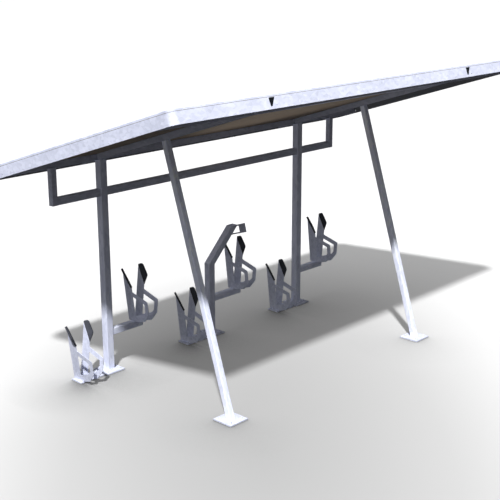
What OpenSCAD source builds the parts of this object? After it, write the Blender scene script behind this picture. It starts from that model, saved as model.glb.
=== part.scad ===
// Bicycle shelter: a mono-pitch roof on two upright rear posts and two leaning
// front posts, with a wheel rack of three posts between the feet.
// X runs along the shelter, the open high front faces -Y, Z is up and the
// origin is on the ground in the middle of the roof's outline. Millimetres.

/* [Layout] */
// Distance between the two frames, centre to centre
bay = 2800; // [2400:10:3400]
// Size of a base plate, square
base_size = 218; // [170:1:260]
// Thickness of a base plate
base_t = 12; // [8:1:20]
// Distance between the bolt holes of a base plate
bolt_pitch = 140; // [120:1:180]
// Diameter of a bolt hole
bolt_d = 14; // [10:1:20]

/* [Roof] */
// Length of the roof along X
roof_len = 4940; // [4400:10:5600]
// Depth of the roof, measured down its slope
roof_depth = 2582; // [2400:1:2800]
// Slope of the roof in degrees
roof_slope = 17.75; // [12:0.25:20]
// Height of the lower front edge of the roof
front_edge_z = 2809; // [2600:1:3000]
// Height of the flat face of the roof edge, up to its step
edge_h = 96; // [85:1:120]
// Height of the rounded lip above the step
lip_h = 28; // [20:1:40]
// How far the lip is set back
lip_step = 3; // [2:0.5:6]
// Width of the rolled top of the lip
lip_w = 34; // [26:1:50]
// Bevel of the lip's upper corner
lip_bevel = 8; // [4:1:12]
// Sheet thickness of the roof edge
edge_t = 4; // [3:0.5:6]
// Outer radius of the roof's corners
corner_r = 60; // [40:1:90]
// Thickness of the roof boards
board_t = 18; // [12:1:27]
// Gap between two roof boards
board_gap = 2; // [1:0.5:4]
// Thickness of the roof skin
skin_t = 4; // [3:0.5:6]

/* [Roof frame] */
// Width and height of the rafter and purlin tubes
rafter_size = 60; // [50:1:65]
// Wall of the rafter and purlin tubes
rafter_wall = 4; // [3:0.5:6]
// Distance of each purlin's middle from the roof edge beside it
purlin_inset = 247; // [200:1:330]
// Width of the opening in the roof edge at a rafter end
slot_w = 70; // [60:1:74]
// Width of that opening at its foot
slot_foot_w = 22; // [16:1:30]
// Height of the foot of that opening
slot_z = 22; // [15:1:30]
// Distance of the opening's middle from the tube's middle
slot_shift = 13; // [0:1:20]
// How far the foot of the opening is set in at its near end
slot_foot_in = 8; // [0:1:20]
// Diameter of the drain hole beside the opening
drain_d = 10; // [8:1:14]

/* [Posts] */
// Distance of the rear posts in front of the rear edge of the roof
rear_post_in = 269; // [235:1:400]
// Distance of the front feet behind the front edge of the roof
front_foot_back = 512; // [450:1:600]
// Width of the square rear posts
rear_size = 80; // [70:1:90]
// Width of the square front posts
front_size = 60; // [50:1:80]
// Wall of the posts
post_wall = 4; // [3:0.5:6]

/* [Rear rail] */
// Height of the rail's underside
rail_z = 1766; // [1600:1:1800]
// Height of the rail tube
rail_h = 71; // [60:1:80]
// Depth of the rail and hanger tubes
rail_d = 60; // [50:1:70]
// Width of a hanger
hanger_w = 60; // [50:1:70]
// Distance of a hanger's middle from the end of the roof
hanger_in = 510; // [300:5:700]
// Wall of the rail and hanger tubes
rail_wall = 3; // [2:0.5:5]

/* [Rack] */
// Width of the middle post, square below the bend
neck_size = 76; // [66:1:84]
// Height of the bend's outer corner
neck_bend_z = 790; // [700:1:850]
// How far the inner corner lies below the outer one
neck_bend_drop = 16; // [10:1:30]
// Angle of the leaning neck above the ground
neck_angle = 46; // [42:1:55]
// Height of the neck's open top
neck_top_z = 1140; // [1100:1:1250]
// Wall of the middle post
neck_wall = 4; // [3:0.5:6]
// Thickness of the locking eye
eye_t = 10; // [8:1:14]
// Width of the eye's end band
eye_band = 93; // [60:1:96]
// Thickness of the eye's two thin links
eye_link = 12; // [9:1:16]
// Height of the eye at the neck
eye_h = 94; // [80:1:130]
// Height of the eye at its outer end
eye_end_h = 105; // [85:1:130]
// How far the eye's upper outer corner lies below the neck's top
eye_drop = 3; // [0:1:8]
// Reach of the eye's top beyond the neck
eye_reach = 112; // [110:1:180]
// How far the eye's foot reaches past its top
eye_lean = 27; // [0:1:50]
// Distance from an outer post to its high wheel holder
high_out = 361; // [300:1:420]
// Distance from the middle post to its high wheel holder, clear of the neck
middle_out = 375; // [365:1:420]
// Distance from a post to its low wheel holder
low_out = 344; // [300:1:400]
// Height of the high arms' upper face
arm_z = 427; // [380:1:500]
// Height of an arm tube
arm_h = 68; // [50:1:80]
// Depth of an arm tube
arm_d = 60; // [50:1:70]
// Wall of an arm tube
arm_wall = 3; // [2:0.5:5]
// Run of an arm or foot plate past the middle of its holder
arm_over = 66; // [55:1:80]
// Depth of a low holder's foot plate
foot_w = 147; // [125:1:175]

/* [Wheel holder] */
// Sheet thickness of a holder
sheet = 5; // [4:0.5:8]
// Clear width between the side plates at their foot
holder_gap = 70; // [60:1:90]
// Outward lean of the side plates in degrees
side_lean = 6.9; // [4:0.1:9]
// Outward turn of the padded flaps in degrees
flap_turn = 38; // [30:1:55]
// Width of a padded flap, rubber included
flap_w = 60; // [50:1:70]
// Distance of the plates' rear edge behind the post's line
holder_back = 56; // [48:1:64]
// Distance of the plates' front edge before the post's line
neck_front = 49; // [42:1:56]
// Height of the fold line's upper end, on the rear edge
fold_high = 532; // [500:1:560]
// Height of the fold line's lower end, on the front edge
fold_low = 366; // [340:1:390]
// Reach of the loops to the front
loop_reach = 263; // [230:1:300]
// Width of the loop's bar
loop_bar = 47; // [35:1:55]
// Height of the loop's upper edge where it leaves the plate
loop_top = 317; // [290:1:335]
// Height of the loop's upper front corner
loop_high = 260; // [230:1:285]
// Height of the loop's lower front corner
loop_low = 126; // [105:1:150]
// Height of the loop's toe
toe_z = 36; // [25:1:50]
// Distance of the toe behind the loop's front
toe_back = 70; // [55:1:95]
// Height of the window's lower front corner
window_low = 142; // [120:1:165]
// Height of the window's lower bend, over the toe
window_toe = 113; // [95:1:130]
// Height of the window's foot at the plate
window_foot = 60; // [45:1:75]
// Thickness of the rubber on each side of a flap
pad_t = 7; // [4:0.5:10]
// How far the rubber reaches past the flap's rim
pad_rim = 4; // [2:0.5:6]

/* [Hidden] */
$fn = 48;

// Places worked out from the sizes above
edge_total = edge_h + lip_h;
roof_plan = (roof_depth - lip_step) * cos(roof_slope) + (edge_total - lip_bevel) * sin(roof_slope);
front_y = -roof_plan / 2;
rear_y = front_y + roof_depth * cos(roof_slope) - rear_post_in;
foot_y = front_y + front_foot_back;
post_x = [-bay / 2, 0, bay / 2];
high_x = post_x + [high_out, middle_out, high_out];
boards = 4;
inner_len = roof_len - 2 * edge_t;
inner_depth = roof_depth - 2 * edge_t;
purlin_y = [purlin_inset, roof_depth - purlin_inset];
overhang = (inner_len - bay - rafter_size) / 2;
hanger_x = roof_len / 2 - hanger_in;
floor_run = 4 * sheet;
fold_lap = 1.5;
flap_over = sheet;
fold_end = [holder_back, fold_high / cos(side_lean)];
fold_start = [-neck_front, fold_low / cos(side_lean)];
fold_len = norm(fold_end - fold_start);
fold_tilt = atan2(fold_end[0] - fold_start[0], fold_end[1] - fold_start[1]);
steel = [0.78, 0.79, 0.83];
shade = [0.60, 0.62, 0.68];

// Height of the roof frame's underside over a place in Y
function roof_under(y) = front_edge_z - (y - front_y) * tan(roof_slope);

// Corner points of a polygon with each corner rounded to its own radius
function unit(v) = v / norm(v);
function corner(a, b, c, r, n) =
    let (
        u = unit(a - b), w = unit(c - b),
        half = acos(max(-1, min(1, u * w))) / 2,
        mid = b + unit(u + w) * r / sin(half),
        start = b + u * r / tan(half) - mid,
        sweep = 180 - 2 * half,
        turn = (u[0] * w[1] - u[1] * w[0]) > 0 ? -1 : 1
    )
    r == 0 ? [b] : [
        for (i = [0 : n])
            let (t = turn * sweep * i / n)
                mid + [start[0] * cos(t) - start[1] * sin(t), start[0] * sin(t) + start[1] * cos(t)]
    ];
function rounded(points, radii, n = 4) = [
    for (i = [0 : len(points) - 1])
        each corner(points[(i + len(points) - 1) % len(points)], points[i],
                    points[(i + 1) % len(points)], radii[i], n)
];

// Turns a flat outline drawn in (Y, Z) into a plate that grows along +X
module plate_yz(t) { rotate([90, 0, 90]) linear_extrude(t) children(); }

// Turns a flat outline drawn in (X, Z) into a plate centred on y
module plate_xz(t, y = 0) { translate([0, y + t / 2, 0]) rotate([90, 0, 0]) linear_extrude(t) children(); }

// Frame of the roof: y runs down the slope from the front edge, z stands square on it
module in_roof() { translate([0, front_y, front_edge_z]) rotate([-roof_slope, 0, 0]) children(); }

// Hollow rectangular tube section with rounded corners, drawn about its middle
function box_points(w, h, r, n) =
    rounded([[w, h] / 2, [-w, h] / 2, [-w, -h] / 2, [w, -h] / 2], [r, r, r, r], n);
module tube_section(w, h, wall) {
    difference() {
        polygon(box_points(w, h, 2 * wall, 3));
        polygon(box_points(w - 2 * wall, h - 2 * wall, wall, 2));
    }
}

// Base plate with its bolt holes, its underside on the ground
module base_plate() {
    color(steel)
    difference() {
        translate([-base_size / 2, -base_size / 2, 0]) cube([base_size, base_size, base_t]);
        for (x = [-1, 1], y = [-1, 1])
            translate([x * bolt_pitch / 2, y * bolt_pitch / 2, -1])
                cylinder(d = bolt_d, h = base_t + 2);
    }
}

// Upright rear post, cut to the slope under its rafter
module rear_post(x) {
    color(steel)
    difference() {
        translate([x, rear_y, base_t])
            linear_extrude(roof_under(rear_y - rear_size) - base_t)
                tube_section(rear_size, rear_size, post_wall);
        in_roof() translate([x - rear_size, 0, 0]) cube([2 * rear_size, roof_depth, roof_depth / 4]);
    }
}

// Leaning front post, square on the roof and cut level on its base plate
module front_post(x) {
    head_z = front_edge_z - front_post_down() * sin(roof_slope);
    foot_len = (head_z - base_t) / cos(roof_slope) + front_size;
    color(steel)
    difference() {
        in_roof()
            translate([x, front_post_down(), -foot_len])
                linear_extrude(foot_len) tube_section(front_size, front_size, post_wall);
        translate([x - base_size / 2, foot_y - base_size, base_t - 4 * front_size])
            cube([base_size, 2 * base_size, 4 * front_size]);
    }
}

// Distance down the roof at which the front post's axis meets its underside
function front_post_down() =
    (foot_y - front_y) * cos(roof_slope) + (front_edge_z - base_t) * sin(roof_slope);

// Outline of the middle post's side in (X, Z), drawn in by inset and run over its ends
function neck_run(z) = z / tan(neck_angle);
function neck_outline(inset, over) =
    let (
        half = neck_size / 2,
        lean = inset / sin(neck_angle),
        bend = inset * tan(45 - neck_angle / 2),
        bend_in = neck_bend_z - neck_bend_drop,
        top = neck_top_z + over,
        low = base_t - over
    )
    [
        [inset - half, low], [half - inset, low], [half - inset, bend_in + bend],
        [half + neck_run(top - bend_in) - lean, top],
        [-half + neck_run(top - neck_bend_z) + lean, top],
        [inset - half, neck_bend_z - bend]
    ];

module middle_post() {
    color(shade)
    translate([0, rear_y, 0])
    difference() {
        plate_xz(neck_size) polygon(neck_outline(0, 0));
        plate_xz(neck_size - 2 * neck_wall) polygon(neck_outline(neck_wall, 1));
    }
}

// Locking eye on the front of the neck's top: a band closed by two thin links
module locking_eye() {
    top_x = neck_size / 2 + neck_run(neck_top_z - neck_bend_z + neck_bend_drop);
    foot_x = top_x - neck_run(eye_h);
    foot_z = neck_top_z - eye_h;
    end_x = top_x + eye_reach;
    end_top_z = neck_top_z - eye_drop;
    end_foot_z = end_top_z - eye_end_h;
    band_x = end_x - eye_band;
    band_slope = eye_lean / eye_end_h;
    color(shade)
    translate([0, rear_y - neck_size / 2 + eye_t / 2, 0])
    difference() {
        plate_xz(eye_t) polygon([
            [top_x, neck_top_z], [foot_x, foot_z],
            [end_x + eye_lean, end_foot_z], [end_x, end_top_z]
        ]);
        plate_xz(eye_t + 2) polygon([
            [top_x - neck_run(eye_link), neck_top_z - eye_link],
            [foot_x + neck_run(eye_link) - 1, foot_z + eye_link],
            [band_x + eye_lean - band_slope * eye_link, end_foot_z + 1.5 * eye_link],
            [band_x + band_slope * eye_link, end_top_z - eye_link]
        ]);
    }
}

// One length of the rear rail
module rail_piece(x0, x1) {
    color(steel)
    translate([x0, rear_y, rail_z + rail_h / 2])
        rotate([90, 0, 90]) linear_extrude(x1 - x0) tube_section(rail_d, rail_h, rail_wall);
}

// Hanger from the roof frame down to the end of the rail
module hanger(x) {
    color(steel)
    difference() {
        translate([x, rear_y, rail_z])
            linear_extrude(roof_under(rear_y - rail_d) - rail_z)
                tube_section(hanger_w, rail_d, rail_wall);
        in_roof() translate([x - hanger_w, 0, 0]) cube([2 * hanger_w, roof_depth, roof_depth / 4]);
    }
}

// Rafter from the front roof edge to the rear one
module rafter(x) {
    color(shade)
    in_roof() translate([x, edge_t, rafter_size / 2])
        rotate([-90, 0, 0]) linear_extrude(inner_depth)
            tube_section(rafter_size, rafter_size, rafter_wall);
}

// Purlin in three lengths, between the rafters and out to the roof's ends
module purlin(y) {
    starts = [-inner_len / 2, (rafter_size - bay) / 2, (bay + rafter_size) / 2];
    lengths = [overhang, bay - rafter_size, overhang];
    color(shade)
    in_roof()
    for (i = [0 : 2])
        translate([starts[i], y, rafter_size / 2])
            rotate([90, 0, 90]) linear_extrude(lengths[i])
                tube_section(rafter_size, rafter_size, rafter_wall);
}

// Outline of the roof inside its edges, with the rounded corners
module roof_field() {
    r = corner_r - edge_t;
    translate([-inner_len / 2, edge_t])
    difference() {
        square([inner_len, inner_depth]);
        for (x = [0, 1], y = [0, 1])
            translate([x * inner_len, y * inner_depth]) mirror([x, 0]) mirror([0, y])
                difference() {
                    translate([-1, -1]) square(r + 1);
                    translate([r, r]) circle(r, $fn = 96);
                }
    }
}

// One roof board, counted from the left
module roof_board(i) {
    pitch = inner_len / boards;
    x0 = -inner_len / 2 + pitch * i;
    trim_left = i == 0 ? 0 : board_gap / 2;
    trim_right = i == boards - 1 ? 0 : board_gap / 2;
    color([0.55, 0.49, 0.40])
    in_roof() translate([0, 0, rafter_size]) linear_extrude(board_t)
        intersection() {
            roof_field();
            translate([x0 + trim_left, 0]) square([pitch - trim_left - trim_right, roof_depth]);
        }
}

module roof_skin() {
    color([0.35, 0.36, 0.38])
    in_roof() translate([0, 0, rafter_size + board_t]) linear_extrude(skin_t) roof_field();
}

// Section of the roof edge: distance inwards from its face, height above its foot
module edge_section() {
    outer = [
        [0, 0], [0, edge_h], [lip_step, edge_h + lip_step],
        [lip_step, edge_total - lip_bevel], [lip_step + lip_bevel, edge_total], [lip_w, edge_total]
    ];
    inner = [
        [lip_w, edge_total - edge_t], [lip_step + lip_bevel, edge_total - edge_t],
        [lip_step + edge_t, edge_total - lip_bevel], [lip_step + edge_t, edge_h],
        [edge_t, edge_h - lip_step], [edge_t, 0]
    ];
    polygon(concat(outer, inner));
}

// Straight length of roof edge along +X, its face towards -Y
module edge_run(length) {
    rotate([90, 0, 90]) linear_extrude(length) edge_section();
}

// Quarter turn of roof edge about a corner of the roof
module edge_corner() {
    rotate([0, 0, 180]) rotate_extrude(angle = 90, $fn = 96)
        translate([corner_r, 0]) mirror([1, 0]) edge_section();
}

// Cut for a tube's end: a funnel-shaped opening and a small drain hole
module edge_slot() {
    near = -slot_w / 2 - slot_shift;
    top = edge_h - lip_step;
    translate([0, edge_t + 1, 0]) rotate([90, 0, 0]) {
        linear_extrude(edge_t + 2) polygon([
            [near, top], [near + slot_w, top],
            [near + slot_foot_in + slot_foot_w, slot_z], [near + slot_foot_in, slot_z]
        ]);
        translate([rafter_size / 2, slot_z + drain_d / 2, 0]) cylinder(d = drain_d, h = edge_t + 2);
    }
}

// Long roof edge with its two rounded corners, its face towards -Y
module long_edge(slotted) {
    straight = roof_len - 2 * corner_r;
    difference() {
        union() {
            translate([-straight / 2, 0, 0]) edge_run(straight);
            translate([-straight / 2, corner_r, 0]) edge_corner();
            mirror([1, 0, 0]) translate([-straight / 2, corner_r, 0]) edge_corner();
        }
        if (slotted)
            for (x = [-bay / 2, bay / 2]) translate([x, 0, 0]) edge_slot();
    }
}

module roof_edge_front() { color(steel) in_roof() long_edge(true); }

module roof_edge_rear() {
    color(steel) in_roof() translate([0, roof_depth, 0]) rotate([0, 0, 180]) long_edge(false);
}

// Short roof edge at one end, with an opening at the rear purlin
module short_edge() {
    difference() {
        translate([-roof_len / 2, roof_depth - corner_r, 0]) rotate([0, 0, -90])
            edge_run(roof_depth - 2 * corner_r);
        translate([-roof_len / 2, purlin_y[1], 0]) rotate([0, 0, -90]) edge_slot();
    }
}
module roof_edge_left() { color(steel) in_roof() short_edge(); }
module roof_edge_right() { color(steel) in_roof() mirror([1, 0, 0]) short_edge(); }

// Arm of a high holder, from its post's face at x to past the holder's middle
module high_arm(x, holder_x) {
    color(shade)
    translate([x, rear_y, arm_z - arm_h / 2])
        rotate([90, 0, 90]) linear_extrude(holder_x + arm_over - x) tube_section(arm_d, arm_h, arm_wall);
}

// Foot plate of a low holder, beside its post's base plate
module low_foot(x) {
    reach = low_out + arm_over + sheet;
    color(steel)
    translate([x - reach, rear_y - foot_w + holder_back + sheet, 0])
        cube([reach - base_size / 2, foot_w, base_t]);
}

// Side plate's outline in (Y, Z): upright part cut along the fold, loop with its window
module side_outline() {
    front = -loop_reach;
    toe = front + toe_back;
    window_front = front + loop_bar;
    fall = (loop_top - loop_high) / (loop_reach - neck_front);
    difference() {
        polygon(rounded(
            [
                [holder_back, 0], [holder_back, fold_high], [-neck_front, fold_low],
                [-neck_front, loop_top], [front, loop_high], [front, loop_low],
                [toe, toe_z], [-neck_front - floor_run, 0]
            ],
            [0, 0, 0, 8, 16, 16, 16, 30]
        ));
        polygon(rounded(
            [
                [-neck_front, window_foot], [-neck_front, loop_top - loop_bar],
                [window_front, loop_high + fall * loop_bar - loop_bar],
                [window_front, window_low], [toe + sheet, window_toe]
            ],
            [6, 6, 8, 8, 16]
        ));
    }
}

// Section of a side plate in (X, Z), leaning out from its level foot
module side_section() {
    run = fold_high * tan(side_lean);
    width = sheet / cos(side_lean);
    foot = holder_gap / 2;
    polygon([[foot, 0], [foot + run, fold_high], [foot + run + width, fold_high], [foot + width, 0]]);
}

// Places its children on the flap: x outwards, z up the fold from its upper end,
// turned outwards about the fold line
module on_flap() {
    translate([holder_gap / 2, 0, 0]) rotate([0, side_lean, 0])
        translate([sheet / 2, fold_end[0], fold_end[1]])
            rotate([-fold_tilt, 0, 0]) rotate([0, 0, flap_turn])
                translate([-sheet / 2, 0, 0]) children();
}

// Flap in (Y, Z), its rim drawn in by inset and its inner side moved over the fold by lap
module flap_outline(inset, lap) {
    polygon(rounded(
        [
            [lap, 2 * inset - fold_len], [lap, flap_over - inset],
            [-flap_over - inset, 3 * flap_over - inset], [inset - 0.85 * flap_w, 2 * flap_over - inset],
            [inset - flap_w, -fold_len / 2], [inset - flap_w, -0.62 * fold_len]
        ],
        [0, 3, 8, 20 - inset, 60, 40]
    ));
}

// One side of a holder: the leaning plate cut to its outline, and the flap
module holder_side() {
    deep = 2 * loop_reach + 2 * holder_back;
    intersection() {
        plate_yz(holder_gap + fold_high) side_outline();
        plate_xz(deep) side_section();
    }
    on_flap() plate_yz(sheet) flap_outline(pad_rim, fold_lap);
}

// Wheel holder standing on z, made of two mirrored sides and a floor
module holder(x, z) {
    color(steel)
    translate([x, rear_y, z])
    union() {
        holder_side();
        mirror([1, 0, 0]) holder_side();
        translate([-holder_gap / 2 - sheet, -neck_front - floor_run, 0])
            cube([holder_gap + 2 * sheet, neck_front + floor_run + holder_back, sheet]);
    }
}

// The two rubber pads of a holder, each a sleeve pushed over its flap
module pads(x, z) {
    color([0.12, 0.12, 0.14])
    translate([x, rear_y, z])
    for (s = [0, 1]) mirror([s, 0, 0])
        on_flap() difference() {
            translate([-pad_t, 0, 0]) plate_yz(sheet + 2 * pad_t) flap_outline(0, -fold_lap);
            plate_yz(sheet) flap_outline(pad_rim, fold_lap);
        }
}

rear_post(post_x[0]);  // rear_post_left
rear_post(post_x[2]);  // rear_post_right
front_post(post_x[0]);  // front_post_left
front_post(post_x[2]);  // front_post_right
middle_post();
locking_eye();
translate([post_x[0], rear_y, 0]) base_plate();  // rear_base_left
translate([post_x[2], rear_y, 0]) base_plate();  // rear_base_right
translate([post_x[0], foot_y, 0]) base_plate();  // front_base_left
translate([post_x[2], foot_y, 0]) base_plate();  // front_base_right
translate([0, rear_y, 0]) base_plate();  // middle_base
rail_piece(hanger_w / 2 - hanger_x, (-bay - rear_size) / 2);  // rear_rail_left
rail_piece((rear_size - bay) / 2, (bay - rear_size) / 2);  // rear_rail_middle
rail_piece((bay + rear_size) / 2, hanger_x - hanger_w / 2);  // rear_rail_right
hanger(-hanger_x);  // hanger_left
hanger(hanger_x);  // hanger_right
rafter(post_x[0]);  // rafter_left
rafter(post_x[2]);  // rafter_right
purlin(purlin_y[0]);  // front_purlin
purlin(purlin_y[1]);  // rear_purlin
roof_board(0);  // roof_board_1
roof_board(1);  // roof_board_2
roof_board(2);  // roof_board_3
roof_board(3);  // roof_board_4
roof_skin();
roof_edge_front();
roof_edge_rear();
roof_edge_left();
roof_edge_right();
high_arm(post_x[0] + rear_size / 2, high_x[0]);  // high_arm_left
high_arm(post_x[1] + neck_size / 2, high_x[1]);  // high_arm_middle
high_arm(post_x[2] + rear_size / 2, high_x[2]);  // high_arm_right
low_foot(post_x[0]);  // low_foot_left
low_foot(post_x[1]);  // low_foot_middle
low_foot(post_x[2]);  // low_foot_right
holder(high_x[0], arm_z);  // high_holder_left
holder(high_x[1], arm_z);  // high_holder_middle
holder(high_x[2], arm_z);  // high_holder_right
holder(post_x[0] - low_out, base_t);  // low_holder_left
holder(post_x[1] - low_out, base_t);  // low_holder_middle
holder(post_x[2] - low_out, base_t);  // low_holder_right
for (x = high_x) pads(x, arm_z);  // high_pads
for (x = post_x) pads(x - low_out, base_t);  // low_pads
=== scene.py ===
import math
import random

import bmesh
import bpy
from mathutils import Matrix, Vector


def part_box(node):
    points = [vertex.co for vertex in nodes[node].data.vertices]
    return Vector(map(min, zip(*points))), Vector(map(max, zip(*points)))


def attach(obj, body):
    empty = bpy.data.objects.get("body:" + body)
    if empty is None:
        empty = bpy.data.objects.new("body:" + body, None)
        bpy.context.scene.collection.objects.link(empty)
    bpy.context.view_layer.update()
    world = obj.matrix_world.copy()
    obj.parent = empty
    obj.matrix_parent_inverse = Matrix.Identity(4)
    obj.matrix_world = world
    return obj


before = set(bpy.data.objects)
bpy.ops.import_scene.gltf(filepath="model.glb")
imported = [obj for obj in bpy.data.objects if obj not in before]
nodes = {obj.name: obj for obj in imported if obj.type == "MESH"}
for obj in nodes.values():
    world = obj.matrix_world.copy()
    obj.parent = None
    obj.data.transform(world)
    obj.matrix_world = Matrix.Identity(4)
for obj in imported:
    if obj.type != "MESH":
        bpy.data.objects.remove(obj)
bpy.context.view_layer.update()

# Real sizes that repeat the CAD's, in metres
BAY = 2.800
BASE_T = 0.012
BOLT_PITCH = 0.140
HOLDER_SHEET = 0.005
TUBE_ROUND = 0.008
# Half widths of the posts' sections on their base plates
REAR_HALF = 0.040
NECK_HALF = 0.038
LEAN_HALF_X = 0.030
LEAN_HALF_Y = 0.0315
# The roof, its depth measured down the slope and its skin's top square over the edge's foot
ROOF_SLOPE = math.radians(17.75)
ROOF_DEPTH = 2.582
FRONT_EDGE_Z = 2.809
PURLIN_BACK = 0.247
EDGE_CORNER = 0.060
SKIN_TOP = 0.082

SIDES = ("left", "middle", "right")
X = Vector((1.0, 0.0, 0.0))
Y = Vector((0.0, 1.0, 0.0))
Z = Vector((0.0, 0.0, 1.0))
WHITE = (1.0, 1.0, 1.0)


def middle(node):
    lo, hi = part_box(node)
    return (lo + hi) / 2


def add_object(name, data):
    obj = bpy.data.objects.new(name, data)
    bpy.context.scene.collection.objects.link(obj)
    return obj


# Camera at the photograph's view, placed from the left rear post
REAR = middle("rear_post_left")
CAM_FROM_REAR_POST = Vector((-6.1030, -7.7008, 4.0496))
CAM_HEADING = math.radians(43.4586)
CAM_PITCH = math.radians(16.1837)
CAM_ROLL = -0.00156
CAM_SENSOR = 36.0
CAM_LENS = 76.2468
CAM_FAR = 200.0

cam_data = bpy.data.cameras.new("camera")
cam_data.sensor_width = CAM_SENSOR
cam_data.lens = CAM_LENS
cam_data.clip_end = CAM_FAR
camera = add_object("camera", cam_data)
bpy.context.scene.camera = camera
flat_look = Vector((math.cos(CAM_HEADING), math.sin(CAM_HEADING), 0.0))
look = flat_look * math.cos(CAM_PITCH) - Vector((0.0, 0.0, math.sin(CAM_PITCH)))
side = Vector((math.sin(CAM_HEADING), -math.cos(CAM_HEADING), 0.0))
up = side.cross(look)
side_r = side * math.cos(CAM_ROLL) + up * math.sin(CAM_ROLL)
up_r = up * math.cos(CAM_ROLL) - side * math.sin(CAM_ROLL)
rotation = Matrix((side_r, up_r, -look)).transposed().to_4x4()
cam_place = Vector((REAR.x, REAR.y, 0.0)) + CAM_FROM_REAR_POST
camera.matrix_world = Matrix.Translation(cam_place) @ rotation

# Light: a high sun from the front left, a shadowless fill from the left, a wide weak one from the
# front, a softbox overhead, and a spot on the ground that lights the ceiling
SUN_TRAVEL = Vector((0.600, 0.430, -1.0))
SUN_POWER = 5.75
SUN_ANGLE = math.radians(3.0)
FILL_TRAVEL = Vector((0.97, 0.12, -0.50))
FILL_POWER = 0.50
FILL_ANGLE = math.radians(30.0)
FRONT_FILL_TRAVEL = Vector((-0.12, 0.72, -0.68))
FRONT_FILL_POWER = 0.26
FRONT_FILL_ANGLE = math.radians(55.0)
SOFTBOX_PLACE = (0.0, 0.0, 8.0)
SOFTBOX_SIDE = 8.0
SOFTBOX_WATTS = 250.0
CEILING_SPOT_PLACE = (0.12, -0.25, 0.10)
CEILING_SPOT_WATTS = 45.0
CEILING_SPOT_CONE = math.radians(64.0)
CEILING_SPOT_BLEND = 0.6
CEILING_SPOT_RADIUS = 0.2
WORLD_TINT = (0.93, 0.95, 1.0, 1.0)
WORLD_STRENGTH = 0.068


def add_light(name, kind, energy, travel, place=(0.0, 0.0, 0.0)):
    """A light that shines along travel."""
    data = bpy.data.lights.new(name, kind)
    data.energy = energy
    lamp = add_object(name, data)
    lamp.location = place
    lamp.rotation_mode = "QUATERNION"
    lamp.rotation_quaternion = travel.to_track_quat("-Z", "Y")
    return lamp


sun = add_light("sun", "SUN", SUN_POWER, SUN_TRAVEL)
sun.data.angle = SUN_ANGLE
fill = add_light("fill", "SUN", FILL_POWER, FILL_TRAVEL)
fill.data.angle = FILL_ANGLE
fill.data.use_shadow = False
front_fill = add_light("front_fill", "SUN", FRONT_FILL_POWER, FRONT_FILL_TRAVEL)
front_fill.data.angle = FRONT_FILL_ANGLE
softbox = add_light("softbox", "AREA", SOFTBOX_WATTS, -Z, SOFTBOX_PLACE)
softbox.data.shape = "SQUARE"
softbox.data.size = SOFTBOX_SIDE
ceiling_spot = add_light("ceiling_spot", "SPOT", CEILING_SPOT_WATTS, Z, CEILING_SPOT_PLACE)
ceiling_spot.data.spot_size = CEILING_SPOT_CONE
ceiling_spot.data.spot_blend = CEILING_SPOT_BLEND
ceiling_spot.data.shadow_soft_size = CEILING_SPOT_RADIUS
ceiling_spot.visible_camera = False

# World: white for the camera, a dim cool grey for everything else
world = bpy.data.worlds.new("studio")
bpy.context.scene.world = world
world.use_nodes = True
wn = world.node_tree
wn.nodes.clear()
w_out = wn.nodes.new("ShaderNodeOutputWorld")
w_mix = wn.nodes.new("ShaderNodeMixShader")
w_path = wn.nodes.new("ShaderNodeLightPath")
w_dim = wn.nodes.new("ShaderNodeBackground")
w_dim.inputs["Color"].default_value = WORLD_TINT
w_dim.inputs["Strength"].default_value = WORLD_STRENGTH
w_white = wn.nodes.new("ShaderNodeBackground")
w_white.inputs["Color"].default_value = (*WHITE, 1.0)
w_white.inputs["Strength"].default_value = 1.0
wn.links.new(w_path.outputs["Is Camera Ray"], w_mix.inputs["Fac"])
wn.links.new(w_dim.outputs[0], w_mix.inputs[1])
wn.links.new(w_white.outputs[0], w_mix.inputs[2])
wn.links.new(w_mix.outputs[0], w_out.inputs["Surface"])

view = bpy.context.scene.view_settings
view.view_transform = "Standard"
view.look = "None"


# Shader building blocks
def new_material(name):
    mat = bpy.data.materials.new(name)
    mat.use_nodes = True
    tree = mat.node_tree
    tree.nodes.clear()
    out = tree.nodes.new("ShaderNodeOutputMaterial")
    bsdf = tree.nodes.new("ShaderNodeBsdfPrincipled")
    tree.links.new(bsdf.outputs[0], out.inputs["Surface"])
    return mat, tree, bsdf


def coords(tree, scale=(1.0, 1.0, 1.0), rotate=(0.0, 0.0, 0.0)):
    """Object coordinates, turned and stretched by scale."""
    tex = tree.nodes.new("ShaderNodeTexCoord")
    mapping = tree.nodes.new("ShaderNodeMapping")
    mapping.inputs["Rotation"].default_value = rotate
    mapping.inputs["Scale"].default_value = scale
    tree.links.new(tex.outputs["Object"], mapping.inputs["Vector"])
    return mapping.outputs["Vector"]


def noise(tree, vector, scale, detail, rough=0.5):
    n = tree.nodes.new("ShaderNodeTexNoise")
    n.inputs["Scale"].default_value = scale
    n.inputs["Detail"].default_value = detail
    n.inputs["Roughness"].default_value = rough
    tree.links.new(vector, n.inputs["Vector"])
    return n.outputs["Fac"]


def ramp(tree, fac, stops):
    """Colour ramp over fac; stops are (position, colour)."""
    r = tree.nodes.new("ShaderNodeValToRGB")
    els = r.color_ramp.elements
    while len(els) < len(stops):
        els.new(0.5)
    for el, (at, col) in zip(els, stops):
        el.position = at
        el.color = (*col, 1.0)
    tree.links.new(fac, r.inputs["Fac"])
    return r.outputs["Color"]


def scaled(tree, value, low, high, start=0.0):
    """Maps value, from start to 1, onto low to high."""
    m = tree.nodes.new("ShaderNodeMapRange")
    m.inputs["From Min"].default_value = start
    m.inputs["To Min"].default_value = low
    m.inputs["To Max"].default_value = high
    tree.links.new(value, m.inputs["Value"])
    return m.outputs["Result"]


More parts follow.
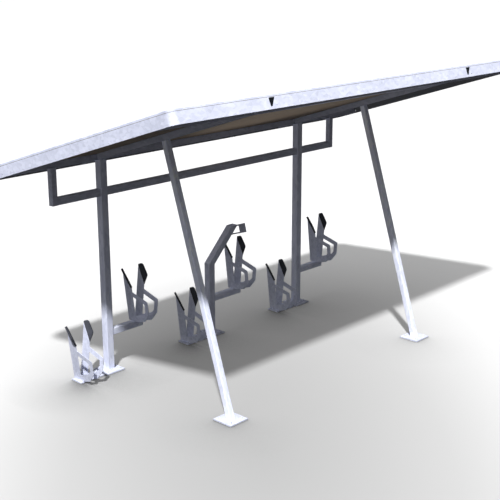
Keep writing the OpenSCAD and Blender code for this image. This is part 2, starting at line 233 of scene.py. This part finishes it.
def mixed(tree, fac, a, b, mode="MIX"):
    """Mixes two colours; fac, a and b are sockets or plain values."""
    m = tree.nodes.new("ShaderNodeMix")
    m.data_type = "RGBA"
    m.blend_type = mode
    for key, kind, val in (("Factor", "VALUE", fac), ("A", "RGBA", a), ("B", "RGBA", b)):
        socket = next(s for s in m.inputs if s.name == key and s.type == kind)
        if hasattr(val, "node"):
            tree.links.new(val, socket)
        else:
            socket.default_value = val
    return next(s for s in m.outputs if s.type == "RGBA")


def bump(tree, bsdf, height, strength, distance):
    b = tree.nodes.new("ShaderNodeBump")
    b.inputs["Strength"].default_value = strength
    b.inputs["Distance"].default_value = distance
    tree.links.new(height, b.inputs["Height"])
    tree.links.new(b.outputs["Normal"], bsdf.inputs["Normal"])


# Materials: colours, and stops of colour ramps as (position, colour)
ZINC_DARK = (0.56, 0.59, 0.72)
ZINC_MID = (0.68, 0.71, 0.86)
ZINC_LIGHT = (0.80, 0.83, 0.98)
SPANGLE_SCALE = 46.0
CLOUD_SCALE = 9.0
CLOUD_SHARE = 0.45
ALONG_X = (0.35, 1.0, 1.0)
ALONG_Z = (1.0, 1.0, 0.30)
ALONG_ROOF = (1.0, 0.35, 1.0)
DOWN_ROOF = (ROOF_SLOPE, 0.0, 0.0)
# SHADED_EDGE is painted shade for the roof edge's inner faces, which start EDGE_REACH in from the
# middle
SHADED_EDGE = (0.20, 0.205, 0.23, 1.0)
EDGE_REACH = 0.7
PAD_TONES = ((0.036, 0.038, 0.048), (0.052, 0.055, 0.068))
# Plug rubber, near black: partly its own colour, partly painted shade for the openings the plugs
# fill
PLUG_SHADE_TONES = ((0.005, 0.006, 0.008), (0.012, 0.014, 0.018))
BOARD_STRETCH = (0.35, 5.0, 5.0)
BOARD_GRAIN = ((0.25, (0.33, 0.26, 0.19)), (0.55, (0.41, 0.32, 0.24)), (0.8, (0.49, 0.39, 0.30)))
BOARD_PATCHES = ((0.3, (0.85, 0.85, 0.85)), (0.7, WHITE))
GRIT_TONES = ((0.3, (0.10, 0.105, 0.115)), (0.7, (0.20, 0.205, 0.215)))
SKIN_PATCHES = ((0.3, (0.80, 0.80, 0.80)), (0.7, WHITE))
SEALANT_TONES = ((0.3, (0.16, 0.16, 0.18)), (0.7, (0.24, 0.24, 0.27)))


def galvanised(name, stretch, tone, rotate=(0.0, 0.0, 0.0)):
    """Hot-dip galvanised steel: spangle drawn out along the tube, with cloudy patches over it."""
    mat, tree, bsdf = new_material(name)
    vector = coords(tree, stretch, rotate)
    cell = tree.nodes.new("ShaderNodeTexVoronoi")
    cell.inputs["Scale"].default_value = SPANGLE_SCALE
    tree.links.new(vector, cell.inputs["Vector"])
    grey = tree.nodes.new("ShaderNodeSeparateColor")
    tree.links.new(cell.outputs["Color"], grey.inputs["Color"])
    crystal = grey.outputs["Red"]
    cloud = noise(tree, vector, scale=CLOUD_SCALE, detail=5.0, rough=0.6)
    dark, mid, light = [tuple(min(1.0, tone * c) for c in zinc)
                        for zinc in (ZINC_DARK, ZINC_MID, ZINC_LIGHT)]
    spangle = ramp(tree, crystal, ((0.0, dark), (0.5, mid), (1.0, light)))
    clouds = ramp(tree, cloud, ((0.30, dark), (0.50, mid), (0.72, light)))
    tree.links.new(mixed(tree, CLOUD_SHARE, spangle, clouds), bsdf.inputs["Base Color"])
    rough = scaled(tree, grey.outputs["Green"], low=0.52, high=0.74)
    tree.links.new(rough, bsdf.inputs["Roughness"])
    bsdf.inputs["Metallic"].default_value = 0.12
    bsdf.inputs["Specular IOR Level"].default_value = 0.25
    bump(tree, bsdf, crystal, strength=0.10, distance=0.0006)
    return mat


def paint_shade_inside(mat, reach, painted_shade_colour):
    """Paints shade onto faces that look at the object's middle from more than reach metres away.
    """
    tree = mat.node_tree
    bsdf = next(n for n in tree.nodes if n.type == "BSDF_PRINCIPLED")
    colour = bsdf.inputs["Base Color"].links[0].from_socket
    tex = tree.nodes.new("ShaderNodeTexCoord")
    flat = tree.nodes.new("ShaderNodeVectorMath")
    flat.operation = "MULTIPLY"
    flat.inputs[1].default_value = (1.0, 1.0, 0.0)
    tree.links.new(tex.outputs["Normal"], flat.inputs[0])
    outward = tree.nodes.new("ShaderNodeVectorMath")
    outward.operation = "DOT_PRODUCT"
    tree.links.new(flat.outputs["Vector"], outward.inputs[0])
    tree.links.new(tex.outputs["Object"], outward.inputs[1])
    inside = tree.nodes.new("ShaderNodeMath")
    inside.operation = "LESS_THAN"
    inside.inputs[1].default_value = -reach
    tree.links.new(outward.outputs["Value"], inside.inputs[0])
    tree.links.new(mixed(tree, inside.outputs["Value"], colour, painted_shade_colour), bsdf.inputs["Base Color"])


def rubber(name, tones):
    """Matt rubber with a fine pebbled skin, clouded between two tones."""
    mat, tree, bsdf = new_material(name)
    vector = coords(tree)
    pebble = noise(tree, vector, scale=420.0, detail=2.0)
    cloud = noise(tree, vector, scale=14.0, detail=3.0)
    darker, lighter = tones
    colour = ramp(tree, cloud, ((0.3, darker), (0.7, lighter)))
    tree.links.new(colour, bsdf.inputs["Base Color"])
    tree.links.new(scaled(tree, cloud, low=0.58, high=0.74), bsdf.inputs["Roughness"])
    bsdf.inputs["Specular IOR Level"].default_value = 0.08
    bump(tree, bsdf, pebble, strength=0.25, distance=0.0004)
    return mat


def boards():
    """Ceiling boards: long faint grain along the shelter."""
    mat, tree, bsdf = new_material("roof_board")
    grain = noise(tree, coords(tree, BOARD_STRETCH), scale=12.0, detail=6.0, rough=0.65)
    patch = noise(tree, coords(tree), scale=1.6, detail=3.0)
    base = ramp(tree, grain, BOARD_GRAIN)
    tone = ramp(tree, patch, BOARD_PATCHES)
    tree.links.new(mixed(tree, 1.0, base, tone, "MULTIPLY"), bsdf.inputs["Base Color"])
    bsdf.inputs["Roughness"].default_value = 0.72
    bump(tree, bsdf, grain, strength=0.15, distance=0.001)
    return mat


def membrane():
    """Roofing membrane with mineral grit."""
    mat, tree, bsdf = new_material("roof_membrane")
    vector = coords(tree)
    grit = noise(tree, vector, scale=260.0, detail=3.0, rough=0.7)
    patch = noise(tree, vector, scale=1.3, detail=4.0)
    fine = ramp(tree, grit, GRIT_TONES)
    tone = ramp(tree, patch, SKIN_PATCHES)
    tree.links.new(mixed(tree, 1.0, fine, tone, "MULTIPLY"), bsdf.inputs["Base Color"])
    bsdf.inputs["Roughness"].default_value = 0.85
    bump(tree, bsdf, grit, strength=0.4, distance=0.001)
    return mat


def sealant():
    """Grey sealant, slightly uneven."""
    mat, tree, bsdf = new_material("grey_sealant")
    wave = noise(tree, coords(tree), scale=60.0, detail=3.0)
    tree.links.new(ramp(tree, wave, SEALANT_TONES), bsdf.inputs["Base Color"])
    bsdf.inputs["Roughness"].default_value = 0.7
    bump(tree, bsdf, wave, strength=0.2, distance=0.0005)
    return mat


galv_post = galvanised("galvanised_post", ALONG_Z, 1.06)
# The leaning posts' higher tone is painted light for the light their faces catch
galv_lean_lit = galvanised("galvanised_leaning_post", ALONG_Z, 1.18, DOWN_ROOF)
# The neck's lower tone is painted shade that holds back the light the front fill throws on it
galv_neck_shaded = galvanised("galvanised_neck", ALONG_Z, 0.93)
# The purlins', rails' and hangers' lower tone is painted shade for where they stand under the roof
galv_beam_shaded = galvanised("galvanised_beam", ALONG_X, 0.87)
galv_arm = galvanised("galvanised_arm", ALONG_X, 1.12)
# The rafters' low tone is painted shade for where they stand deep under the roof
galv_rafter_shaded = galvanised("galvanised_rafter", ALONG_ROOF, 0.60, DOWN_ROOF)
galv_edge = galvanised("galvanised_edge", (0.6, 0.6, 1.0), 0.98)
# The edge's inner faces get painted shade: a dark grey in place of the shade under the roof
paint_shade_inside(galv_edge, EDGE_REACH, SHADED_EDGE)
galv_plate = galvanised("galvanised_plate", (0.8, 0.8, 0.8), 0.90)
galv_bolt = galvanised("galvanised_bolt", (2.0, 2.0, 2.0), 0.9)
galv_weld = galvanised("galvanised_weld", (1.5, 1.5, 1.5), 0.96)
pad_mat = rubber("pad_rubber", PAD_TONES)
plug_mat = rubber("plug_rubber", PLUG_SHADE_TONES)
board_mat = boards()
skin_mat = membrane()
sealant_mat = sealant()

# The first word that is found in a node's name gives its material
MATERIAL_OF = (
    ("_pads", pad_mat),
    ("roof_board", board_mat),
    ("roof_skin", skin_mat),
    ("roof_edge", galv_edge),
    ("front_post", galv_lean_lit),
    ("middle_post", galv_neck_shaded),
    ("locking_eye", galv_neck_shaded),
    ("rafter", galv_rafter_shaded),
    ("arm", galv_arm),
    ("purlin", galv_beam_shaded),
    ("rail", galv_beam_shaded),
    ("hanger", galv_beam_shaded),
    ("base", galv_plate),
    ("foot", galv_plate),
    ("holder", galv_plate),
    ("rear_post", galv_post),
)
PAD_ROUND = 0.0022
ROUND_STEPS = 2
ROUND_FROM_ANGLE = math.radians(50.0)


def round_edges(obj, width):
    mod = obj.modifiers.new("edge_round", "BEVEL")
    mod.width = width
    mod.segments = ROUND_STEPS
    mod.limit_method = "ANGLE"
    mod.angle_limit = ROUND_FROM_ANGLE
    mod.harden_normals = True


for name, obj in nodes.items():
    if name.endswith("_pads"):
        round_edges(obj, PAD_ROUND)
    mat = next(m for word, m in MATERIAL_OF if word in name)
    if not obj.material_slots:
        obj.data.materials.append(mat)
    for s in obj.material_slots:
        s.link = "OBJECT"
        s.material = mat


# Mesh helpers for the small parts
def finish_piece(bm, name, mat, smooth=False):
    mesh = bpy.data.meshes.new(name)
    bm.to_mesh(mesh)
    bm.free()
    for p in mesh.polygons:
        p.use_smooth = smooth
    obj = add_object(name, mesh)
    obj.data.materials.append(mat)
    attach(obj, "root")


def join_rings(bm, a, b):
    """Faces between two rings of equally many vertices."""
    for i in range(len(a)):
        j = (i + 1) % len(a)
        bm.faces.new((a[i], a[j], b[j], b[i]))


def loft(bm, rings, closed):
    """Joins rings of equally many points; if it isn't closed, both ends get a face."""
    made = [[bm.verts.new(p) for p in ring] for ring in rings]
    if not closed:
        bm.faces.new(list(reversed(made[0])))
        bm.faces.new(made[-1])
    for a, b in zip(made, made[1:]):
        join_rings(bm, a, b)
    if closed:
        join_rings(bm, made[-1], made[0])


def circle(centre, radius, count, z, turn):
    """Level ring of points, its first one turned by turn."""
    points = []
    for i in range(count):
        a = turn + 2 * math.pi * i / count
        points.append((centre.x + radius * math.cos(a), centre.y + radius * math.sin(a), z))
    return points


# Fasteners: sides, and radius and height of each step. An anchor is a washer, a nut and a stud's
# end; a holder bolt is a washer and a head
HEXAGON = 6
ANCHOR = (
    (24, ((0.0120, 0.0), (0.0120, 0.0020), (0.0115, 0.0025))),
    (HEXAGON, ((0.0104, 0.0025), (0.0110, 0.0035), (0.0110, 0.0115), (0.0100, 0.0128))),
    (16, ((0.0060, 0.0128), (0.0060, 0.0190), (0.0050, 0.0200))),
)
HOLDER_BOLT = (
    (20, ((0.0105, 0.0), (0.0105, 0.0016), (0.0100, 0.0020))),
    (HEXAGON, ((0.0088, 0.0020), (0.0092, 0.0028), (0.0092, 0.0076), (0.0080, 0.0086))),
)
# Share of each counter in a hexagon's turn, so that neighbours differ
ANCHOR_TURNS = (0.4, 0.7, 1.1)
HOLDER_TURNS = (0.5, 0.9, 0.3)
# Distance of a holder's two bolts behind the post's line
BOLT_PLACES = (-0.022, 0.026)
BASES = ("rear_base_left", "rear_base_right", "front_base_left", "front_base_right", "middle_base")


def turned(turns, counts):
    """Turn of the hexagon at the place with these counts."""
    return sum(t * n for t, n in zip(turns, counts))


def fastener(bm, x, y, z, parts, turn):
    """Stack of turned parts on an upright axis that stands at height z; turn is the hexagon's."""
    centre = Vector((x, y, 0.0))
    for count, profile in parts:
        part_turn = turn if count == HEXAGON else 0.0
        rings = [circle(centre, r, count, z + h, part_turn) for r, h in profile]
        loft(bm, rings, closed=False)


bm = bmesh.new()
for k, name in enumerate(BASES):
    c = middle(name)
    top_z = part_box(name)[1].z
    for i, sx in enumerate((-1, 1)):
        for j, sy in enumerate((-1, 1)):
            turn = turned(ANCHOR_TURNS, (k, i, j))
            fastener(bm, c.x + sx * BOLT_PITCH / 2, c.y + sy * BOLT_PITCH / 2, top_z, ANCHOR, turn)
finish_piece(bm, "ground_anchors", galv_bolt)

bm = bmesh.new()
for k, level in enumerate(("high", "low")):
    for i, end in enumerate(SIDES):
        name = f"{level}_holder_{end}"
        floor_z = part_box(name)[0].z + HOLDER_SHEET
        for j, dy in enumerate(BOLT_PLACES):
            turn = turned(HOLDER_TURNS, (i, j, k))
            fastener(bm, middle(name).x, REAR.y + dy, floor_z, HOLDER_BOLT, turn)
finish_piece(bm, "holder_bolts", galv_bolt)

# Weld beads round the tubes' ends; each bead's leg varies along it by a share of WELD_LEG
WELD_LEG = 0.005
WELD_LEG_RANGE = (0.82, 1.12)
WELD_CROWN = 0.62
WELD_STEP = 0.006
WELD_SINK = 0.003
ROUND_POINTS = 4
rng = random.Random(17)


def between(p, q, t):
    """The point at share t of the way from p to q."""
    return (p[0] + t * (q[0] - p[0]), p[1] + t * (q[1] - p[1]))


def tube_outline(half_u, half_v):
    """Points and outward directions round a tube's section with rounded corners."""
    rounds = []
    for cu, cv, quarter in ((1, 1, 0), (-1, 1, 1), (-1, -1, 2), (1, -1, 3)):
        for i in range(ROUND_POINTS):
            a = math.pi / 2 * (quarter + i / (ROUND_POINTS - 1))
            n = (math.cos(a), math.sin(a))
            p = (cu * (half_u - TUBE_ROUND) + TUBE_ROUND * n[0],
                 cv * (half_v - TUBE_ROUND) + TUBE_ROUND * n[1])
            rounds.append((p, n))
    full = []
    for (p0, n0), (p1, n1) in zip(rounds, rounds[1:] + rounds[:1]):
        steps = max(1, round(math.dist(p0, p1) / WELD_STEP))
        for i in range(steps):
            full.append((between(p0, p1, i / steps), between(n0, n1, i / steps)))
    return full


def weld(bm, centre, u, v, half_u, half_v):
    """A bead round a tube that stands on a flat face; u and v span the face."""
    n = u.cross(v)
    rings = [[], [], [], []]
    for (a, b), (na, nb) in tube_outline(half_u, half_v):
        leg = WELD_LEG * rng.uniform(*WELD_LEG_RANGE)
        spot = centre + u * a + v * b
        away = u * na + v * nb
        rings[0].append(spot - away * WELD_SINK)
        rings[1].append(spot + away * leg)
        rings[2].append(spot + away * leg * WELD_CROWN + n * leg * WELD_CROWN)
        rings[3].append(spot - away * WELD_SINK + n * leg)
    loft(bm, rings, closed=True)


POST_WELDS = (
    ("rear_base_left", REAR_HALF, REAR_HALF),
    ("rear_base_right", REAR_HALF, REAR_HALF),
    ("middle_base", NECK_HALF, NECK_HALF),
    ("front_base_left", LEAN_HALF_X, LEAN_HALF_Y),
    ("front_base_right", LEAN_HALF_X, LEAN_HALF_Y),
)
# Tubes along X, and whether their start and their end are welded
LEVEL_WELDS = (
    ("high_arm_left", True, False),
    ("high_arm_middle", True, False),
    ("high_arm_right", True, False),
    ("rear_rail_left", False, True),
    ("rear_rail_middle", True, True),
    ("rear_rail_right", True, False),
)

bm = bmesh.new()
for name, half_x, half_y in POST_WELDS:
    c = middle(name)
    weld(bm, Vector((c.x, c.y, BASE_T)), X, Y, half_x, half_y)
for name, at_start, at_end in LEVEL_WELDS:
    lo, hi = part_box(name)
    mid_y, half_y = (lo.y + hi.y) / 2, (hi.y - lo.y) / 2
    mid_z, half_z = (lo.z + hi.z) / 2, (hi.z - lo.z) / 2
    if at_start:
        weld(bm, Vector((lo.x, mid_y, mid_z)), Y, Z, half_y, half_z)
    if at_end:
        weld(bm, Vector((hi.x, mid_y, mid_z)), Z, Y, half_z, half_y)
bmesh.ops.recalc_face_normals(bm, faces=bm.faces)
finish_piece(bm, "weld_beads", galv_weld, smooth=True)

# Roof: a sealant line in the step of the edge, black plugs in its openings whose near-black is
# partly their rubber and partly painted shade for the openings' insides, laps on its membrane.
# SLOT is the CAD's opening in (x, height over the edge's foot), SEAM is in (inset, height)
SLOT = ((-0.048, 0.093), (-0.040, 0.022), (-0.018, 0.022), (0.022, 0.093))
SEAM = ((0.0002, 0.0961), (0.0004, 0.0980), (0.0024, 0.1010), (0.0031, 0.1010), (0.0031, 0.0993))
CORNER_STEPS = 8
PLUG_GAP = 0.0006
PLUG_BEVEL = 3 * PLUG_GAP
PLUG_FACE = 0.0012
PLUG_RIM = 0.0020
PLUG_BACK = 0.0036
LAP_PITCH = 1.030
LAP_PLACES = tuple(n * LAP_PITCH for n in (-1.5, -0.5, 0.5, 1.5))
LAP_W = 0.080
LAP_T = 0.0022
LAP_FOOT_Z = SKIN_TOP - LAP_T
LAP_SIDE_Z = SKIN_TOP + 0.3 * LAP_T
LAP_TOP_Z = SKIN_TOP + LAP_T
LAP_BEVEL = 0.004
LAP_END = 0.038

front_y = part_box("roof_edge_front")[0].y
roof_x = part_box("roof_edge_right")[1].x


def roof_point(x, down, over):
    """A place in the roof's frame: down the slope and square over it."""
    return Vector((x, front_y + down * math.cos(ROOF_SLOPE) + over * math.sin(ROOF_SLOPE),
                   FRONT_EDGE_Z - down * math.sin(ROOF_SLOPE) + over * math.cos(ROOF_SLOPE)))


def roof_outline(inset):
    """The roof's outline in (x, down), drawn in by inset."""
    points = []
    corners = ((1, ROOF_DEPTH, 0), (-1, ROOF_DEPTH, 1), (-1, 0.0, 2), (1, 0.0, 3))
    for sign, end, quarter in corners:
        cx = sign * (roof_x - EDGE_CORNER)
        cy = end - EDGE_CORNER if end else EDGE_CORNER
        for i in range(CORNER_STEPS + 1):
            a = math.pi / 2 * (quarter + i / CORNER_STEPS)
            points.append((cx + (EDGE_CORNER - inset) * math.cos(a),
                           cy + (EDGE_CORNER - inset) * math.sin(a)))
    return points


bm = bmesh.new()
seam_rings = [[roof_point(x, down, over) for x, down in roof_outline(inset)]
              for inset, over in SEAM]
loft(bm, seam_rings, closed=True)
bmesh.ops.recalc_face_normals(bm, faces=bm.faces)
finish_piece(bm, "edge_seam", sealant_mat, smooth=True)


def slot_outline(inset):
    """The opening's outline, drawn in by inset on each side."""
    middle_x = sum(x for x, z in SLOT) / len(SLOT)
    middle_z = sum(z for x, z in SLOT) / len(SLOT)
    return [(x + math.copysign(inset, middle_x - x), z + math.copysign(inset, middle_z - z))
            for x, z in SLOT]


def plug(bm, place):
    """A plug with a bevelled face, sunk a little behind the face of the edge."""
    steps = ((PLUG_FACE, PLUG_BEVEL), (PLUG_RIM, PLUG_GAP), (PLUG_BACK, PLUG_GAP))
    rings = [[place(x, depth, z) for x, z in slot_outline(inset)] for depth, inset in steps]
    loft(bm, rings, closed=False)


bm = bmesh.new()
for post_x in (-BAY / 2, BAY / 2):
    plug(bm, lambda x, depth, z: roof_point(post_x + x, depth, z))
purlin_down = ROOF_DEPTH - PURLIN_BACK
for end in (-1, 1):
    plug(bm, lambda x, depth, z: roof_point(end * (roof_x - depth), purlin_down - x, z))
bmesh.ops.recalc_face_normals(bm, faces=bm.faces)
finish_piece(bm, "edge_plugs", plug_mat)

bm = bmesh.new()
for x in LAP_PLACES:
    x0 = x - LAP_W / 2
    x1 = x + LAP_W / 2
    section = ((x0, LAP_FOOT_Z), (x0, LAP_SIDE_Z), (x0 + LAP_BEVEL, LAP_TOP_Z),
               (x1 - LAP_BEVEL, LAP_TOP_Z), (x1, LAP_SIDE_Z), (x1, LAP_FOOT_Z))
    ends = (LAP_END, ROOF_DEPTH - LAP_END)
    rings = [[roof_point(x, down, over) for x, over in section] for down in ends]
    loft(bm, rings, closed=False)
bmesh.ops.recalc_face_normals(bm, faces=bm.faces)
finish_piece(bm, "membrane_laps", skin_mat)

# Floor: pale ground with painted shade, a little darker in a long oval under the shelter and white
# far out, and darker again right beside whatever stands on it, as painted contact shade.
# FLOOR_SHADE_TONES are greys over the oval's radius.
# The contact shade looks for what stands near a point, in a half sphere that leans away from the
# camera by CONTACT_LEAN
FLOOR_REACH = 60.0
FLOOR_MIDDLE = (-1.67, -1.38, 0.0)
FLOOR_OVAL = (7.6, 3.57, 1.0)
FLOOR_SHADE_TONES = ((0.0, 0.53), (0.17, 0.57), (0.26, 0.597), (0.35, 0.63), (0.435, 0.662),
               (0.52, 0.72), (0.61, 0.79), (0.70, 0.86), (0.80, 0.92), (1.0, 1.0))
FLOOR_MATT = (0.50, 0.50, 0.50, 1.0)
# FLOOR_GLOW is painted light: the floor glows by itself, which keeps its shadows light
FLOOR_GLOW = 0.238
CONTACT_REACH = 0.75
CONTACT_FULL = 0.32
CONTACT_DARKEST = 0.15
CONTACT_LEAN = math.radians(62.0)

floor_mesh = bpy.data.meshes.new("studio_floor")
bm = bmesh.new()
bm.faces.new([bm.verts.new((x * FLOOR_REACH, y * FLOOR_REACH, 0.0))
              for x, y in ((-1, -1), (1, -1), (1, 1), (-1, 1))])
bm.to_mesh(floor_mesh)
bm.free()
floor = add_object("studio_floor", floor_mesh)
floor_mat = bpy.data.materials.new("studio_floor")
floor_mat.use_nodes = True
tree = floor_mat.node_tree
tree.nodes.clear()
place = tree.nodes.new("ShaderNodeTexCoord")
oval = tree.nodes.new("ShaderNodeMapping")
oval.vector_type = "TEXTURE"
oval.inputs["Location"].default_value = FLOOR_MIDDLE
oval.inputs["Rotation"].default_value = (0.0, 0.0, CAM_HEADING)
oval.inputs["Scale"].default_value = FLOOR_OVAL
tree.links.new(place.outputs["Object"], oval.inputs["Vector"])
reach = tree.nodes.new("ShaderNodeVectorMath")
reach.operation = "LENGTH"
tree.links.new(oval.outputs["Vector"], reach.inputs[0])
oval_shade = ramp(tree, reach.outputs["Value"], [(at, (grey,) * 3) for at, grey in FLOOR_SHADE_TONES])
contact = tree.nodes.new("ShaderNodeAmbientOcclusion")
contact.inputs["Distance"].default_value = CONTACT_REACH
contact_look = tree.nodes.new("ShaderNodeCombineXYZ")
contact_look.inputs["X"].default_value = flat_look.x * math.sin(CONTACT_LEAN)
contact_look.inputs["Y"].default_value = flat_look.y * math.sin(CONTACT_LEAN)
contact_look.inputs["Z"].default_value = math.cos(CONTACT_LEAN)
tree.links.new(contact_look.outputs["Vector"], contact.inputs["Normal"])
contact_tone = scaled(tree, contact.outputs["AO"], CONTACT_DARKEST, 1.0, start=CONTACT_FULL)
tone = mixed(tree, 1.0, oval_shade, contact_tone, "MULTIPLY")
matt = tree.nodes.new("ShaderNodeBsdfDiffuse")
glow = tree.nodes.new("ShaderNodeEmission")
both = tree.nodes.new("ShaderNodeAddShader")
floor_out = tree.nodes.new("ShaderNodeOutputMaterial")
tree.links.new(mixed(tree, 1.0, tone, FLOOR_MATT, "MULTIPLY"), matt.inputs["Color"])
tree.links.new(tone, glow.inputs["Color"])
glow.inputs["Strength"].default_value = FLOOR_GLOW
tree.links.new(matt.outputs[0], both.inputs[0])
tree.links.new(glow.outputs[0], both.inputs[1])
tree.links.new(both.outputs[0], floor_out.inputs["Surface"])
floor.data.materials.append(floor_mat)
floor.visible_diffuse = False
floor.visible_glossy = False
